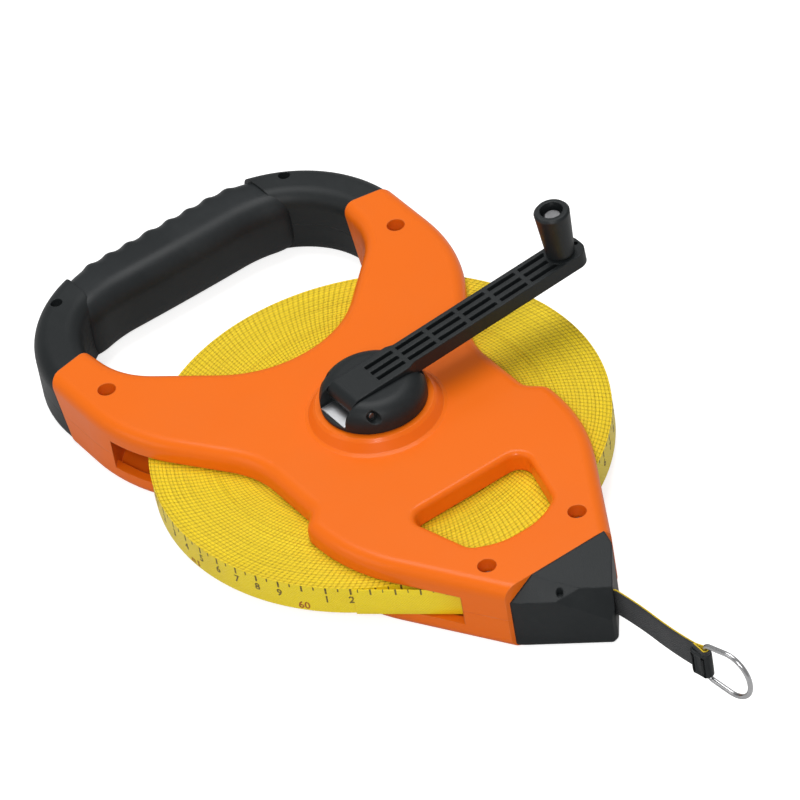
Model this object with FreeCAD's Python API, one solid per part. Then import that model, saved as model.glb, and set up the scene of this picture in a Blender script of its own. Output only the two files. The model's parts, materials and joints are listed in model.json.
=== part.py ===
import FreeCAD
import Part
import math
import os

# Surveyor tape reel: an open frame of two moulded shells with a U handle, a drum of wound
# tape between them, a folding crank on top and a mouth that the tape runs out of.
# Millimetres. X runs along the reel to its mouth, Z is the drum's axis, and Z = 0 is the
# flat underside of the lower shell. The origin is on the drum's axis.

# Tape and drum
tape_width = 13.0
tape_thickness = 0.5
roll_radius = 94.0
core_radius = 29.5
core_wall = 3.0
drum_flange_radius = 36.0
drum_flange = 1.2
drum_web = 4.0
drum_hub_radius = 12.0
anchor_pin_radius = 1.5
anchor_pin_inset = 4.5
drum_rib_count = 6
drum_rib_half = 1.0

# Frame
frame_height = 32.0
shell_wall = 3.5
side_wall = 4.0
edge_round = 5.5
side_gap = 0.7
pocket_radius = 110.0
pocket_wall = 1.5
bay_edge_x = -52.0
bay_round = 47.0
bay_corner_y = 19.0
arm_inner_y = 65.5
arm_outer_y = 86.5
arm_spread = 3.5
arm_bend_x = -93.0
arm_bend_round = 35.0
arm_sweep_x = -60.0
arm_sweep_round = 80.0
waist_y = 53.5
waist_x = -9.1
waist_round = 40.0
shoulder_y = 60.0
shoulder_x = 35.5
shoulder_step = 7.0
shoulder_step_round = 6.0
cheek_x = 61.0
cheek_round = 80.0
nose_x = 121.0
nose_half = 26.0
seam_x = -111.0
seam_back = 4.0
seam_under = 11.0

# Window in each plate
window_inner_x = 60.0
window_outer_x = 97.5
window_half = 29.0
window_corner_round = 6.0
window_shoulder_back = 6.0
window_shoulder_share = 0.7
window_shoulder_round = 7.0
window_bow_share = 0.31
window_bow_round_share = 0.95
window_lip = 3.0
window_lip_round = 2.5

# Screws that hold the frame together
arm_screw_x = -88.0
arm_screw_y = 73.0
nose_screw_x = 105.0
nose_screw_y = 22.0
screw_radius = 1.5
screw_head_radius = 3.2
screw_head = 2.0
screw_head_round = 0.8
screw_cross = 1.9
screw_cross_half = 0.4
screw_cross_depth = 1.1
recess_radius = 3.8
recess_depth = 7.4
arm_boss_radius = 5.2
nose_pillar_radius = 3.1
tang_thickness = 6.0
tang_inner_y = 70.0
tang_outer_y = 81.0

# Handle
grip_x = -155.25
bend_centre_y = 27.75
handle_round = 7.0
handle_wall = 3.0
handle_screw_angle = 36.0
handle_screw_depth = 6.0
handle_screw_shift = 3.5
handle_screw_radius = 1.2
handle_screw_head_radius = 2.4
handle_screw_head = 1.8
handle_screw_drive = 0.9
handle_boss_radius = 3.6
grip_half_length = 46.0
core_width = 15.5
core_height = 25.0
core_round = 5.5
sleeve_half_height = 15.6
rib_reach = 8.0
grip_front = 17.0
grip_back = 12.0
grip_round = 11.0
rib_count = 9
rib_pitch = 9.5
rib_width = 3.0
rib_depth = 1.2

# Bearings on the drum's axis
axle_radius = 6.0
bush_wall = 3.0
bush_flange_radius = 12.5
bush_flange = 1.5
bearing_boss_radius = 17.0
collar_top_radius = 24.0
collar_base_radius = 29.0
collar_height = 5.4
square_drive = 10.0
square_round = 0.8
hub_drive = 8.0
hub_drive_depth = 2.4
washer_radius = 10.5
washer = 1.0
axle_screw_radius = 2.0
axle_screw_head_radius = 4.0
axle_screw_head = 2.0
cap_radius = 14.0
cap_thickness = 1.5
cap_recess = 0.0
friction_washer_radius = 19.0
friction_washer = 0.5

# Crank
hub_radius = 21.8
hub_top_radius = 13.5
hub_skirt = 3.0
hub_height = 11.2
hub_floor = 1.2
hub_dome_radius_share = 0.78
hub_dome_height_share = 0.62
pin_y = -11.0
pin_radius = 1.25
pin_half_length = 15.4
pin_dimple_radius = 2.4
pin_dimple_x = 14.6
arm_tail_radius = 4.6
arm_thickness = 6.5
arm_rise = 3.3
pin_height = 7.6
arm_half_width = 7.2
arm_pad_half_width = 8.5
arm_pad_end = 14.0
arm_reach = 97.0
arm_end_radius = 9.5
slot_rows = 6
slot_pitch = 15.5
slot_length = 13.5
slot_width = 2.1
slot_spacing = 4.3
slot_depth = 4.2
slot_start = 1.0
spring_half_width = 8.0
spring_thickness = 0.5

# Knob
knob_height = 23.2
knob_base_radius = 6.0
knob_top_radius = 7.4
knob_boss_radius = 6.8
knob_pin_radius = 2.2
knob_head_radius = 3.6
knob_head = 1.5
knob_head_round = 0.6
knob_recess_radius = 4.8
knob_recess = 4.5

# Mouth
mouth_back_half = 24.0
mouth_chamfer = 2.5
mouth_tip_x = 146.3
mouth_tip_y = 4.8
mouth_round = 3.0
mouth_facet_start = 14.0
mouth_facet_width = 5.0
mouth_facet_drop = 11.0
mouth_pin_top = 25.0
mouth_corner_x = 127.0
mouth_corner_y = 22.0
mouth_tip_height = 25.0
mouth_bevel = 8.0
mouth_slot = 2.6
mouth_pin_x = 131.9
mouth_pin_y = -7.6
mouth_pin_radius = 1.3
mouth_pin_bottom = 3.0
mouth_top_step = 0.2
mouth_tip_width = 2.8
mouth_slot_start = 60.0
mouth_slot_end = 130.0
mouth_lug_y = 2.0
mouth_corner_round = 1.5
mouth_lug_length = 8.0
mouth_lug_width = 14.0
mouth_lug_height = 11.0

# Tape run, leader strap, clasp and ring
tape_heading = 46.1
run_lead = 3.0
channel_start = 48.0
channel_width = 6.0
run_end = 104.0
strap_start = 105.0
strap_bend_round = 4.0
strap_bend = -38.0
strap_sag_round = 200.0
strap_sag = -6.0
strap_lift_round = 180.0
strap_lift = 8.0
strap_thickness = 0.9
strap_width = 12.6
clasp_length = 9.0
clasp_overlap = 4.0
clasp_round = 2.0
ring_bar_back = 2.2
rivet_back = 2.0
rivet_proud = 0.5
clasp_thickness = 5.0
clasp_height = 13.6
rivet_radius = 1.4
ring_wire_radius = 1.05
ring_bar_half = 8.5
ring_end_half = 12.0
ring_length = 22.0
ring_end_round = 10.0
ring_bar_round = 2.5

# Clearances
running = 0.06
sliding = 0.2
swing_gap = 0.3
seat = 0.02

# Values worked out from the ones above
half_height = frame_height / 2.0
roll_bottom = half_height - tape_width / 2.0
roll_top = half_height + tape_width / 2.0
plate_under = roll_top + side_gap
plate_over = roll_bottom - side_gap
roof_under = frame_height - shell_wall
anchor_pin_y = core_radius - core_wall / 2.0 - anchor_pin_inset
handle_width = arm_outer_y - arm_inner_y
handle_y = (arm_outer_y + arm_inner_y) / 2.0
bend_radius = handle_y - bend_centre_y
bend_x = grip_x + bend_radius
plug_end_x = seam_x - seam_back - 5.0
collar_top = frame_height + collar_height
hub_bottom = collar_top + friction_washer
hub_top = collar_top + hub_height
pin_z = collar_top + pin_height
arm_top = pin_z + arm_tail_radius
arm_bottom = arm_top - arm_thickness
rear_floor = pin_z - arm_tail_radius - swing_gap - spring_thickness
knob_bottom = arm_top + sliding
knob_top = knob_bottom + knob_height
bush_bore = axle_radius + running
bush_radius = axle_radius + bush_wall
cap_top = cap_recess + cap_thickness
screw_head_bottom = cap_top + sliding
axle_end = screw_head_bottom + axle_screw_head + washer
cap_pocket = axle_end + sliding
ring_bar_ahead = clasp_length - clasp_overlap - ring_bar_back
tape_centre_radius = roll_radius + swing_gap + tape_thickness / 2.0


def at(x, y, z=0.0):
    return FreeCAD.Vector(x, y, z)


def rounded_wire(corners):
    # Closed outline of straight edges joined by tangent arcs; a corner is (x, y, radius).
    count = len(corners)
    starts = []
    middles = []
    ends = []
    for index in range(count):
        here = at(corners[index][0], corners[index][1])
        radius = corners[index][2]
        back = at(corners[index - 1][0], corners[index - 1][1]) - here
        ahead = at(corners[(index + 1) % count][0], corners[(index + 1) % count][1]) - here
        back.normalize()
        ahead.normalize()
        half = back.getAngle(ahead) / 2.0
        bisector = back + ahead
        if radius <= 0.0 or bisector.Length < 1e-6:
            starts.append(here)
            middles.append(None)
            ends.append(here)
            continue
        bisector.normalize()
        reach = radius / math.tan(half)
        starts.append(here + back * reach)
        middles.append(here + bisector * (radius / math.sin(half) - radius))
        ends.append(here + ahead * reach)
    edges = []
    for index in range(count):
        if middles[index] is not None:
            edges.append(Part.Arc(starts[index], middles[index], ends[index]).toShape())
        following = starts[(index + 1) % count]
        if ends[index].distanceToPoint(following) > 1e-4:
            edges.append(Part.LineSegment(ends[index], following).toShape())
    return Part.Wire(edges)


def inset_corners(corners, inset):
    # The same outline moved inwards; corners run anticlockwise.
    count = len(corners)
    moved = []
    for index in range(count):
        before = at(corners[index - 1][0], corners[index - 1][1])
        here = at(corners[index][0], corners[index][1])
        after = at(corners[(index + 1) % count][0], corners[(index + 1) % count][1])
        first = here - before
        second = after - here
        first.normalize()
        second.normalize()
        turn = first.x * second.y - first.y * second.x
        first_normal = at(-first.y, first.x)
        second_normal = at(-second.y, second.x)
        shift = (first_normal + second_normal) * (inset / (1.0 + first_normal.dot(second_normal)))
        radius = corners[index][2]
        if radius > 0.0 and turn > 0.0:
            radius = max(radius - inset, 0.3)
        elif radius > 0.0:
            radius = radius + inset
        moved.append((here.x + shift.x, here.y + shift.y, radius))
    return moved


def prism(corners, bottom, top):
    face = Part.Face(rounded_wire(corners))
    solid = face.extrude(at(0, 0, top - bottom))
    solid.translate(at(0, 0, bottom))
    return solid


def cylinder(radius, bottom, top, x=0.0, y=0.0):
    return Part.makeCylinder(radius, top - bottom, at(x, y, bottom))


def ring(outer, inner, bottom, top, x=0.0, y=0.0):
    return cylinder(outer, bottom, top, x, y).cut(cylinder(inner, bottom, top, x, y))


def block(low_x, high_x, low_y, high_y, low_z, high_z):
    return Part.makeBox(high_x - low_x, high_y - low_y, high_z - low_z, at(low_x, low_y, low_z))


def half_space(point, normal, size=400.0):
    # Everything on the side of the plane that the normal points to.
    return Part.makeBox(size, size, size, at(-size / 2.0, -size / 2.0, 0.0)).transformed(
        FreeCAD.Placement(point, FreeCAD.Rotation(at(0, 0, 1), normal)).toMatrix())


def mirror_y(shape):
    return shape.mirror(at(0, 0, 0), at(0, 1, 0))


def mirror_height(shape):
    return shape.mirror(at(0, 0, half_height), at(0, 0, 1))


def edges_in_plane(shape, height):
    found = []
    for edge in shape.Edges:
        box = edge.BoundBox
        if abs(box.ZMin - height) < 1e-4 and abs(box.ZMax - height) < 1e-4:
            found.append(edge)
    return found


def revolved(points):
    # Solid of revolution about Z from a closed outline of (radius, height) points.
    wire = Part.makePolygon([at(r, 0, z) for r, z in points + points[:1]])
    return Part.Face(wire).revolve(at(0, 0, 0), at(0, 0, 1), 360)


def along_tape(distance, sideways=0.0):
    # Point on the line of the tape that leaves the roll; sideways is away from the drum.
    heading = math.radians(tape_heading)
    out = tape_centre_radius + sideways
    return at(
        out * math.sin(heading) + distance * math.cos(heading),
        -out * math.cos(heading) + distance * math.sin(heading))


def tape_slab(start, end, thickness, bottom, top):
    corners = [
        along_tape(start, thickness / 2.0), along_tape(end, thickness / 2.0),
        along_tape(end, -thickness / 2.0), along_tape(start, -thickness / 2.0)]
    return prism([(corner.x, corner.y, 0.0) for corner in corners], bottom, top)


def tip_end_x():
    # Where the arms' solids end before the seam is cut.
    return seam_x - seam_back - 12.0


def frame_half_outline():
    # Half of the frame's outline, from the bay between the arms round to the nose.
    tip_x = tip_end_x()
    return [
        (nose_x, nose_half, 0.0),
        (cheek_x, shoulder_y, cheek_round),
        (shoulder_x, shoulder_y, edge_round + 1.0),
        (shoulder_x - shoulder_step, waist_y, shoulder_step_round),
        (waist_x, waist_y, waist_round),
        (arm_sweep_x, arm_outer_y, arm_sweep_round),
        (tip_x, arm_outer_y, 0.0),
        (tip_x, arm_inner_y, 0.0),
        (arm_bend_x, arm_inner_y - arm_spread, arm_bend_round),
        (bay_edge_x, bay_corner_y, bay_round)]


def frame_outline():
    half = frame_half_outline()
    other = [(x, -y, r) for x, y, r in reversed(half)]
    return half + other


def seam_half_space(side, gap, shell_side):
    # The seam between an arm of the frame and the handle slants across and under.
    outer = at(seam_x + gap, side * arm_outer_y, frame_height)
    inner = at(seam_x - seam_back + gap, side * arm_inner_y, frame_height)
    under = at(seam_x + seam_under + gap, side * arm_outer_y, 0.0)
    normal = (inner - outer).cross(under - outer) * side
    if not shell_side:
        normal = normal * -1.0
    return half_space(outer, normal)


def window_outline(grow):
    # A rounded outer edge towards the nose, a straight inner edge and slanting ends.
    shoulder = window_outer_x - window_shoulder_back
    shoulder_half = window_half * window_shoulder_share
    bow_half = window_half * window_bow_share
    bow_round = window_half * window_bow_round_share
    corners = [
        (window_inner_x, -window_half, window_corner_round),
        (shoulder, -shoulder_half, window_shoulder_round),
        (window_outer_x, -bow_half, bow_round),
        (window_outer_x, bow_half, bow_round),
        (shoulder, shoulder_half, window_shoulder_round),
        (window_inner_x, window_half, window_corner_round)]
    return inset_corners(corners, -grow)


def raw_shell():
    # Solid upper half of the frame with its long outer edges rounded.
    solid = prism(frame_outline(), half_height, frame_height)
    long_edges = []
    for edge in edges_in_plane(solid, frame_height):
        box = edge.BoundBox
        if box.XMin < nose_x - 0.1 and box.XMax > tip_end_x() + 0.1:
            long_edges.append(edge)
    return solid.makeFillet(edge_round, long_edges)


def cut_at_seams(solid):
    # Each arm ends on its slanting seam; the rest of the shell is left alone.
    for side in (1.0, -1.0):
        beyond = seam_half_space(side, 0.0, False)
        beyond = beyond.common(half_space(at(bay_edge_x - 20.0, 0, 0), at(-1, 0, 0)))
        solid = solid.cut(beyond.common(half_space(at(0, 0, 0), at(0, side, 0))))
    return solid


def shell_hollow():
    hollow = prism(inset_corners(frame_outline(), side_wall), half_height, roof_under)
    hollow = hollow.cut(ring(pocket_radius + pocket_wall, pocket_radius, half_height, roof_under))
    hollow = hollow.cut(prism(window_outline(window_lip), half_height, roof_under))
    return hollow


def half_shell():
    solid = raw_shell()
    solid = solid.cut(cylinder(pocket_radius, half_height, plate_under))
    solid = solid.cut(shell_hollow())
    solid = solid.cut(tape_slab(channel_start, run_end, channel_width, half_height, plate_under))
    window = prism(window_outline(0.0), half_height, frame_height + 1.0)
    solid = solid.cut(window)
    solid = solid.fuse(cylinder(bearing_boss_radius, plate_under + drum_flange + sliding, frame_height))
    for side in (1.0, -1.0):
        boss_low = half_height + tang_thickness / 2.0
        boss = cylinder(arm_boss_radius, boss_low, roof_under + 1.0, arm_screw_x, side * arm_screw_y)
        solid = solid.fuse(boss)
        head = cylinder(arm_boss_radius, plate_under, roof_under + 1.0, nose_screw_x, side * nose_screw_y)
        solid = solid.fuse(head)
        pillar_top = plate_under + 1.0
        pillar = cylinder(nose_pillar_radius, half_height, pillar_top, nose_screw_x, side * nose_screw_y)
        solid = solid.fuse(pillar)
    lug = mouth_lug_space(sliding)
    solid = solid.cut(lug)
    return solid.removeSplitter()


def screw_places():
    places = []
    for side in (1.0, -1.0):
        places.append((arm_screw_x, side * arm_screw_y))
        places.append((nose_screw_x, side * nose_screw_y))
    return places


def mouth_lug_space(gap):
    low = half_height - mouth_lug_height / 2.0 - gap
    high = half_height + mouth_lug_height / 2.0 + gap
    return block(
        nose_x - mouth_lug_length - gap, nose_x + 1.0, mouth_lug_y - gap,
        mouth_lug_y + mouth_lug_width + gap, low, high)


def round_window_lip(solid):
    found = []
    for edge in edges_in_plane(solid, frame_height):
        centre = edge.BoundBox.Center
        spread = math.hypot(centre.x, centre.y)
        inside_x = window_inner_x - 1.0 < edge.BoundBox.XMin
        if inside_x and spread < window_outer_x + 4.0 and abs(edge.BoundBox.YMax) < window_half + 1.0:
            found.append(edge)
    return solid.makeFillet(window_lip_round, found)


def upper_shell():
    solid = cut_at_seams(round_window_lip(half_shell()))
    collar = revolved([
        (bush_radius, frame_height - 1.0), (collar_base_radius, frame_height - 1.0),
        (collar_base_radius, frame_height), (collar_base_radius - 1.5, frame_height + 0.6),
        (collar_top_radius + 1.2, collar_top - 1.2), (collar_top_radius, collar_top),
        (bush_radius, collar_top)])
    solid = solid.fuse(collar).removeSplitter()
    solid = solid.cut(cylinder(bush_radius, plate_under - 1.0, collar_top + 1.0))
    solid = solid.cut(cylinder(bush_flange_radius, collar_top - bush_flange, collar_top + 1.0))
    for x, y in screw_places():
        solid = solid.cut(cylinder(recess_radius, frame_height - recess_depth, frame_height + 1.0, x, y))
        solid = solid.cut(cylinder(screw_radius + sliding / 2.0, half_height, frame_height, x, y))
    return solid


def lower_shell():
    solid = cut_at_seams(mirror_height(round_window_lip(half_shell())))
    solid = solid.cut(cylinder(bush_radius, -1.0, plate_over + 1.0))
    solid = solid.cut(cylinder(cap_radius, -1.0, cap_pocket))
    for x, y in screw_places():
        solid = solid.cut(cylinder(screw_radius + seat, shell_wall, half_height, x, y))
    return solid


def frame_screws():
    screws = []
    seat_z = frame_height - recess_depth
    for x, y in screw_places():
        shank = cylinder(screw_radius, shell_wall + 1.5, seat_z + 0.5, x, y)
        head = cylinder(screw_head_radius, seat_z, seat_z + screw_head, x, y)
        top = edges_in_plane(head, seat_z + screw_head)
        head = head.makeFillet(screw_head_round, top)
        low = seat_z + screw_head - screw_cross_depth
        high = seat_z + screw_head + 1.0
        across = block(
            x - screw_cross, x + screw_cross, y - screw_cross_half, y + screw_cross_half, low, high)
        along = block(
            x - screw_cross_half, x + screw_cross_half, y - screw_cross, y + screw_cross, low, high)
        screws.append(shank.fuse(head).cut(across.fuse(along)))
    return Part.makeCompound(screws)


def handle_section(width, height, corner):
    # Upright rounded rectangle across the handle, centred on the origin, in the YZ plane.
    flat = rounded_wire([
        (-width / 2.0, -height / 2.0, corner), (width / 2.0, -height / 2.0, corner),
        (width / 2.0, height / 2.0, corner), (-width / 2.0, height / 2.0, corner)])
    face = Part.Face(flat)
    face.rotate(at(0, 0, 0), at(1, 0, 0), 90)
    face.rotate(at(0, 0, 0), at(0, 0, 1), 90)
    return face


def handle_sweep(width, height, corner, end_x):
    # One U: two straight legs, two bends and the grip line.
    section = handle_section(width, height, corner)
    section.translate(at(bend_x, handle_y, half_height))
    leg = section.extrude(at(end_x - bend_x, 0, 0))
    bend = section.revolve(at(bend_x, bend_centre_y, 0), at(0, 0, 1), 90)
    side = leg.fuse(bend)
    grip_face = handle_section(width, height, corner)
    grip_face.rotate(at(0, 0, 0), at(0, 0, 1), 90)
    grip_face.translate(at(grip_x, -bend_centre_y, half_height))
    grip = grip_face.extrude(at(0, 2.0 * bend_centre_y, 0))
    return side.fuse(mirror_y(side)).fuse(grip)


def handle_screw_places():
    turn = math.radians(handle_screw_angle)
    reach = bend_radius + handle_screw_shift
    x = bend_x - reach * math.cos(turn)
    y = bend_centre_y + reach * math.sin(turn)
    return [(x, y), (x, -y)]


def grip_zone():
    # The stretch of the handle that the soft sleeve covers.
    return block(grip_x - 40.0, grip_x + 40.0, -grip_half_length, grip_half_length, -1.0, frame_height + 1.0)


def grip_core():
    return handle_sweep(core_width, core_height, core_round, plug_end_x).common(grip_zone())


def handle_bar():
    # The whole U with its hollow, necked under the sleeve, before it is split in two.
    solid = handle_sweep(handle_width, frame_height, handle_round, seam_x + seam_under + 4.0)
    solid = solid.cut(grip_zone()).fuse(grip_core())
    hollow = handle_sweep(
        core_width - 2.0 * handle_wall, core_height - 2.0 * handle_wall, core_round - handle_wall,
        plug_end_x)
    solid = solid.cut(hollow)
    for x, y in handle_screw_places():
        solid = solid.fuse(cylinder(handle_boss_radius, handle_wall, frame_height - handle_wall, x, y))
    for side in (1.0, -1.0):
        beyond = seam_half_space(side, -seat, True)
        solid = solid.cut(beyond.common(half_space(at(0, 0, 0), at(0, side, 0))))
        solid = solid.fuse(arm_tang(side))
    return solid


def handle_half(is_upper):
    low = half_height if is_upper else -1.0
    high = frame_height + 1.0 if is_upper else half_height
    solid = handle_bar().common(block(-300, 0, -200, 200, low, high)).removeSplitter()
    for x, y in handle_screw_places():
        if is_upper:
            seat_z = frame_height - handle_screw_depth
            solid = solid.cut(cylinder(handle_screw_head_radius + sliding, seat_z, frame_height + 1.0, x, y))
            hole_radius = handle_screw_radius + sliding / 2.0
            solid = solid.cut(cylinder(hole_radius, half_height - 1.0, frame_height, x, y))
        else:
            hole_radius = handle_screw_radius + seat
            solid = solid.cut(cylinder(hole_radius, handle_wall + 1.0, half_height + 1.0, x, y))
    return solid


def arm_tang(side):
    # Flat tongue of the handle that the arm's screw clamps between the two shells.
    low = half_height - tang_thickness / 2.0
    high = half_height + tang_thickness / 2.0
    near = min(side * tang_inner_y, side * tang_outer_y)
    far = max(side * tang_inner_y, side * tang_outer_y)
    tang = block(plug_end_x, arm_screw_x + arm_boss_radius, near, far, low, high)
    tang = tang.cut(cylinder(pocket_radius + pocket_wall + sliding, low, high))
    return tang.cut(cylinder(screw_radius + sliding / 2.0, low, high, arm_screw_x, side * arm_screw_y))


def handle_screws():
    screws = []
    seat_z = frame_height - handle_screw_depth
    for x, y in handle_screw_places():
        head_top = seat_z + handle_screw_head
        shank = cylinder(handle_screw_radius, handle_wall + 2.0, seat_z + 0.5, x, y)
        head = cylinder(handle_screw_head_radius, seat_z, head_top, x, y)
        drive = cylinder(handle_screw_drive, head_top - 1.0, head_top + 1.0, x, y)
        screws.append(shank.fuse(head).cut(drive))
    return Part.makeCompound(screws)


def sleeve_corners(inset):
    corners = [
        (-grip_back, -sleeve_half_height, grip_round), (grip_front, -sleeve_half_height, grip_round),
        (grip_front, sleeve_half_height, grip_round), (-grip_back, sleeve_half_height, grip_round)]
    return inset_corners(corners, inset)


def sleeve_prism(inset, start, end):
    # Stretch of the sleeve's section between two places along the grip.
    face = Part.Face(rounded_wire(sleeve_corners(inset)))
    face.rotate(at(0, 0, 0), at(1, 0, 0), 90)
    face.translate(at(grip_x, start, half_height))
    return face.extrude(at(0, end - start, 0))


def grip_sleeve():
    # Soft sleeve moulded round the straight part of the handle, ribbed on its outer side.
    solid = sleeve_prism(0.0, -grip_half_length, grip_half_length)
    ends = [edge for edge in solid.Edges if abs(abs(edge.BoundBox.Center.y) - grip_half_length) < 1e-3]
    solid = solid.makeFillet(2.0, ends)
    outer_side = half_space(at(grip_x - grip_back + rib_reach, 0, 0), at(-1, 0, 0))
    for index in range(rib_count):
        middle = (index - (rib_count - 1) / 2.0) * rib_pitch
        start = middle - (rib_pitch - rib_width) / 2.0
        end = middle + (rib_pitch - rib_width) / 2.0
        band = sleeve_prism(-1.0, start, end).cut(sleeve_prism(rib_depth, start, end))
        solid = solid.cut(band.common(outer_side))
    return solid.cut(grip_core())


def upper_bush():
    solid = ring(bush_radius, bush_bore, plate_under + drum_flange + sliding, collar_top)
    flange = ring(bush_flange_radius, bush_bore, collar_top - bush_flange, collar_top)
    return solid.fuse(flange).removeSplitter()


def lower_bush():
    return ring(bush_radius, bush_bore, cap_pocket, plate_over - drum_flange - sliding)


def back_cap():
    disc = cylinder(cap_radius - seat, cap_recess, cap_top)
    rim = ring(cap_radius - seat, cap_radius - 1.5, cap_recess, cap_pocket)
    notch = block(cap_radius - 4.0, cap_radius + 1.0, -2.0, 2.0, cap_recess - 1.0, cap_recess + 0.8)
    return disc.fuse(rim).cut(notch).removeSplitter()


def square(size, bottom, top):
    # Square bar or hole with slightly rounded corners.
    half = size / 2.0
    corners = [
        (-half, -half, square_round), (half, -half, square_round),
        (half, half, square_round), (-half, half, square_round)]
    return prism(corners, bottom, top)


def reel_drum():
    low = plate_over - drum_flange
    high = plate_under + drum_flange
    rim = ring(core_radius, core_radius - core_wall, low, high)
    for bottom in (low, plate_under):
        flange = ring(drum_flange_radius, core_radius - core_wall, bottom, bottom + drum_flange)
        rim = rim.fuse(flange)
    web = cylinder(core_radius - 1.0, half_height - drum_web / 2.0, half_height + drum_web / 2.0)
    hub = cylinder(drum_hub_radius, low, high)
    solid = rim.fuse(web).fuse(hub)
    for index in range(drum_rib_count):
        rib = block(
            drum_hub_radius - 1.0, core_radius - 1.0, -drum_rib_half, drum_rib_half, low + 2.0, high - 2.0)
        rib.rotate(at(0, 0, 0), at(0, 0, 1), index * 360.0 / drum_rib_count)
        solid = solid.fuse(rib)
    solid = solid.removeSplitter()
    bore = square(square_drive + 2.0 * seat, low - 1.0, high + 1.0)
    solid = solid.cut(bore.common(cylinder(axle_radius + seat, low - 1.0, high + 1.0)))
    anchor = cylinder(anchor_pin_radius + seat, low - 1.0, high + 1.0, 0.0, anchor_pin_y)
    return solid.cut(anchor)


def tape_anchor_pin():
    return cylinder(anchor_pin_radius, roll_bottom, roll_top, 0.0, anchor_pin_y)


def tape_roll():
    return ring(roll_radius, core_radius, roll_bottom, roll_top)


def drum_axle():
    shaft = cylinder(axle_radius, axle_end, hub_bottom)
    low = plate_over - drum_flange
    high = plate_under + drum_flange
    shaft = shaft.cut(cylinder(axle_radius + 1.0, low, high).cut(square(square_drive, low, high)))
    drive = square(hub_drive, hub_bottom - 0.5, hub_bottom + hub_drive_depth)
    solid = shaft.fuse(drive).removeSplitter()
    return solid.cut(cylinder(axle_screw_radius - 0.2, axle_end - 1.0, axle_end + 10.0))


def axle_washer():
    return ring(washer_radius, axle_screw_radius + seat, axle_end - washer, axle_end)


def axle_screw():
    head_top = axle_end - washer
    head = cylinder(axle_screw_head_radius, screw_head_bottom, head_top)
    shank = cylinder(axle_screw_radius - 0.2 - seat, head_top - 0.5, axle_end + 8.0)
    drive = cylinder(1.3, screw_head_bottom - 1.0, screw_head_bottom + 1.1)
    return head.fuse(shank).cut(drive).removeSplitter()


def friction_washer_ring():
    return ring(friction_washer_radius, axle_radius + sliding, collar_top + sliding / 2.0, hub_bottom)


def crank_hub():
    shoulder = hub_bottom + hub_skirt
    middle_r = hub_top_radius + hub_dome_radius_share * (hub_radius - hub_top_radius)
    middle_z = shoulder + hub_dome_height_share * (hub_top - shoulder)
    arc = Part.Arc(at(hub_radius, 0, shoulder), at(middle_r, 0, middle_z), at(hub_top_radius, 0, hub_top))
    outline = Part.Wire([
        Part.LineSegment(at(0, 0, hub_bottom), at(hub_radius, 0, hub_bottom)).toShape(),
        Part.LineSegment(at(hub_radius, 0, hub_bottom), at(hub_radius, 0, shoulder)).toShape(),
        arc.toShape(),
        Part.LineSegment(at(hub_top_radius, 0, hub_top), at(0, 0, hub_top)).toShape(),
        Part.LineSegment(at(0, 0, hub_top), at(0, 0, hub_bottom)).toShape()])
    solid = Part.Face(outline).revolve(at(0, 0, 0), at(0, 0, 1), 360)
    half_channel = arm_pad_half_width + swing_gap
    step_y = pin_y + arm_tail_radius
    front = block(
        -half_channel, half_channel, step_y - 1.0, hub_radius + 1.0, arm_bottom - swing_gap, hub_top + 1.0)
    rear = block(-half_channel, half_channel, -hub_radius - 1.0, step_y, rear_floor, hub_top + 1.0)
    solid = solid.cut(front).cut(rear)
    solid = solid.cut(rear_ramp(0.0))
    solid = solid.cut(square(hub_drive + 2.0 * seat, hub_bottom - 1.0, hub_bottom + hub_drive_depth + seat))
    solid = solid.cut(detent_spring())
    pin_hole = Part.makeCylinder(
        pin_radius + seat, 2.0 * hub_radius, at(-hub_radius, pin_y, pin_z), at(1, 0, 0))
    solid = solid.cut(pin_hole)
    for side in (1.0, -1.0):
        dimple = Part.makeCylinder(
            pin_dimple_radius, hub_radius, at(side * pin_dimple_x, pin_y, pin_z), at(side, 0, 0))
        solid = solid.cut(dimple)
    return solid


def rear_ramp(lift):
    # Sloping seat behind the arm's tail; lift raises it by a thickness.
    top_y = pin_y - arm_tail_radius + 2.0
    half = arm_pad_half_width + swing_gap
    drop = rear_floor - hub_bottom - hub_floor
    corners = [
        at(0, top_y, rear_floor + lift + 0.01), at(0, -hub_radius - 1.0, rear_floor - drop + lift),
        at(0, -hub_radius - 1.0, rear_floor + 6.0), at(0, top_y, rear_floor + 6.0)]
    face = Part.Face(Part.makePolygon(corners + corners[:1]))
    face.translate(at(-half, 0, 0))
    return face.extrude(at(2.0 * half, 0, 0))


def detent_spring():
    # Bent steel leaf: flat under the arm's tail, then down the slope behind it.
    top_y = pin_y - arm_tail_radius + 2.0
    drop = rear_floor - hub_bottom - hub_floor
    run = hub_radius + 1.0 + top_y
    slope = drop / run
    end_y = -hub_radius + 1.6
    end_z = rear_floor - slope * (top_y - end_y)
    front_y = pin_y + arm_tail_radius - 1.5
    corners = [
        at(0, front_y, rear_floor), at(0, top_y, rear_floor), at(0, end_y, end_z),
        at(0, end_y, end_z + spring_thickness), at(0, top_y, rear_floor + spring_thickness),
        at(0, front_y, rear_floor + spring_thickness)]
    face = Part.Face(Part.makePolygon(corners + corners[:1]))
    face.translate(at(-spring_half_width, 0, 0))
    return face.extrude(at(2.0 * spring_half_width, 0, 0))


def hinge_pin():
    start = at(-pin_half_length, pin_y, pin_z)
    return Part.makeCylinder(pin_radius, 2.0 * pin_half_length, start, at(1, 0, 0))


def raised(shape):
    # The crank stands a little above level: turn a piece up about the hinge pin.
    shape.rotate(at(0, pin_y, pin_z), at(1, 0, 0), arm_rise)
    return shape


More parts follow.
